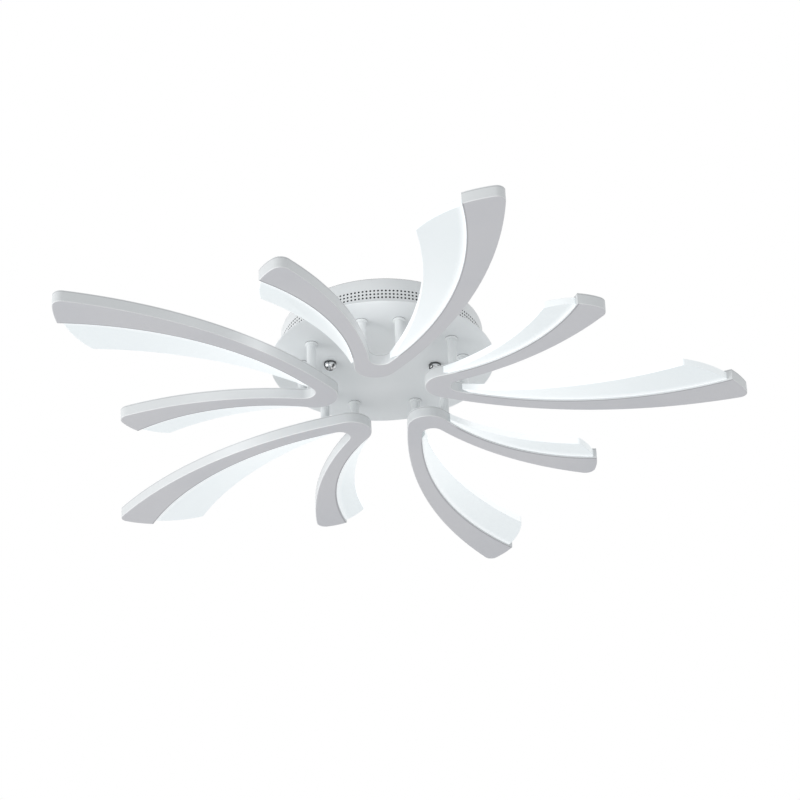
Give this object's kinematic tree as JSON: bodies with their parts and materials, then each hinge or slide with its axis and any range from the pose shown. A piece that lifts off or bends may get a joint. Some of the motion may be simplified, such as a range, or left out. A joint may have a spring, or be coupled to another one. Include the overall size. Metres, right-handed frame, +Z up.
{
  "type": "semi-flush ceiling light",
  "caption": "Semi-flush ceiling light: a round canopy with a vented side carries slim boomerang heads on pairs of posts, each arm edged with a milky acrylic blade.",
  "frame": {"origin": "ceiling plane, at the middle of the ceiling bracket and its two fixing slots", "axes": "+Z up, out of the ceiling bracket towards the ceiling; +X along the bracket, from the left cap nut to the right one; +Y away from the viewer of the picture"},
  "size_m": [0.7446, 0.7548, 0.0967],
  "materials": {
    "white_paint": "smooth matte white powder coat",
    "milky_acrylic": "milky translucent acrylic, lit from its edge",
    "circuit_board": "white solder mask",
    "dark_chrome": "polished dark plating",
    "zinc_steel": "zinc plated",
    "brass": "plain brass",
    "driver_plastic": "plain moulded, off-white",
    "lead_sleeve": "soft silicone sleeve"
  },
  "bodies": {
    "fixture": {"canopy_plate": "white_paint", "canopy_vent_ring": "white_paint", "ceiling_bracket": "zinc_steel", "bracket_studs": "zinc_steel", "stud_lock_nuts": "zinc_steel", "earth_screw": "brass", "post_nuts_in_canopy": "zinc_steel", "driver_nuts": "zinc_steel", "led_driver": "driver_plastic", "terminal_block": "driver_plastic", "mains_lead": "lead_sleeve", "head_leads": "lead_sleeve", "lid_screws": "zinc_steel", "post_nuts_in_heads": "zinc_steel", "head_1_channel": "white_paint", "head_1_lid": "white_paint", "head_1_long_diffuser": "milky_acrylic", "head_1_short_diffuser": "milky_acrylic", "head_1_long_led_board": "circuit_board", "head_1_short_led_board": "circuit_board", "head_1_long_arm_post": "white_paint", "head_1_short_arm_post": "white_paint", "head_2_channel": "white_paint", "head_2_lid": "white_paint", "head_2_long_diffuser": "milky_acrylic", "head_2_short_diffuser": "milky_acrylic", "head_2_long_led_board": "circuit_board", "head_2_short_led_board": "circuit_board", "head_2_long_arm_post": "white_paint", "head_2_short_arm_post": "white_paint", "head_3_channel": "white_paint", "head_3_lid": "white_paint", "head_3_long_diffuser": "milky_acrylic", "head_3_short_diffuser": "milky_acrylic", "head_3_long_led_board": "circuit_board", "head_3_short_led_board": "circuit_board", "head_3_long_arm_post": "white_paint", "head_3_short_arm_post": "white_paint", "head_4_channel": "white_paint", "head_4_lid": "white_paint", "head_4_long_diffuser": "milky_acrylic", "head_4_short_diffuser": "milky_acrylic", "head_4_long_led_board": "circuit_board", "head_4_short_led_board": "circuit_board", "head_4_long_arm_post": "white_paint", "head_4_short_arm_post": "white_paint", "head_5_channel": "white_paint", "head_5_lid": "white_paint", "head_5_long_diffuser": "milky_acrylic", "head_5_short_diffuser": "milky_acrylic", "head_5_long_led_board": "circuit_board", "head_5_short_led_board": "circuit_board", "head_5_long_arm_post": "white_paint", "head_5_short_arm_post": "white_paint"},
    "cap_nut_left_body": {"cap_nut_left": "dark_chrome"},
    "cap_nut_right_body": {"cap_nut_right": "dark_chrome"}
  },
  "joints": [
    {"name": "left_cap_nut_turn", "type": "hinge", "parent": "fixture", "child": "cap_nut_left_body", "pos_m": [-0.0585, 0, -0.04], "axis": [0, 0, 1], "continuous": true},
    {"name": "right_cap_nut_turn", "type": "hinge", "parent": "fixture", "child": "cap_nut_right_body", "pos_m": [0.0585, 0, -0.04], "axis": [0, 0, 1], "continuous": true}
  ]
}
